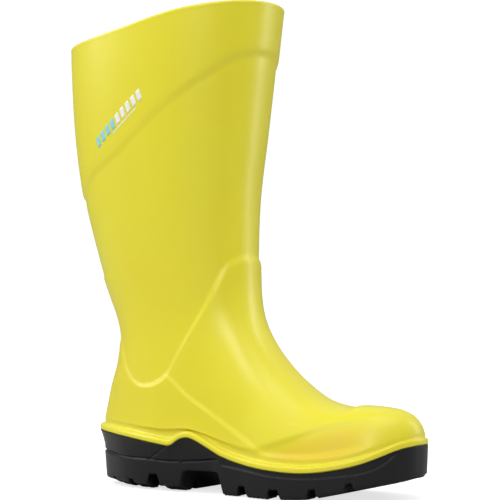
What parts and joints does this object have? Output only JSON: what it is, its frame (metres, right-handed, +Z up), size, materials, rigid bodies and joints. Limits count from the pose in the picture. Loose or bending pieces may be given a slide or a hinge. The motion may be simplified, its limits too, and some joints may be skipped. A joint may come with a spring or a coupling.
{
  "type": "safety wellington boot",
  "caption": "Tall moulded safety wellington for the right foot, with a lip round the cleated sole, steel toe cap, steel midsole, textile lining and loose footbed.",
  "frame": {"origin": "on the ground, under the centre of the boot's outer box", "axes": "+X heel to toe, +Y towards the inner side of the right foot, +Z up along the leg"},
  "size_m": [0.3134, 0.1244, 0.378],
  "materials": {
    "upper": "yellow moulded polyurethane, satin",
    "sole": "black moulded polyurethane, satin",
    "lining": "grey knitted sock",
    "cap_steel": "grey coated pressed steel",
    "strip": "black foam rubber",
    "plate_steel": "spring steel sheet",
    "board": "pressed fibre board",
    "foam": "open cell foam",
    "cover": "grey woven face cloth"
  },
  "bodies": {
    "boot": {"upper_shell": "upper", "outsole": "sole", "lining": "lining", "toe_cap": "cap_steel", "toe_cap_edge_strip": "strip", "penetration_plate": "plate_steel", "insole_board": "board"},
    "footbed": {"footbed_foam": "foam", "footbed_cover": "cover"}
  },
  "joints": [
    {"name": "footbed_lift", "type": "hinge", "parent": "boot", "child": "footbed", "pos_m": [0.145, 0.004, 0.0335], "axis": [0, 1, 0], "range_deg": [0, 6]}
  ]
}
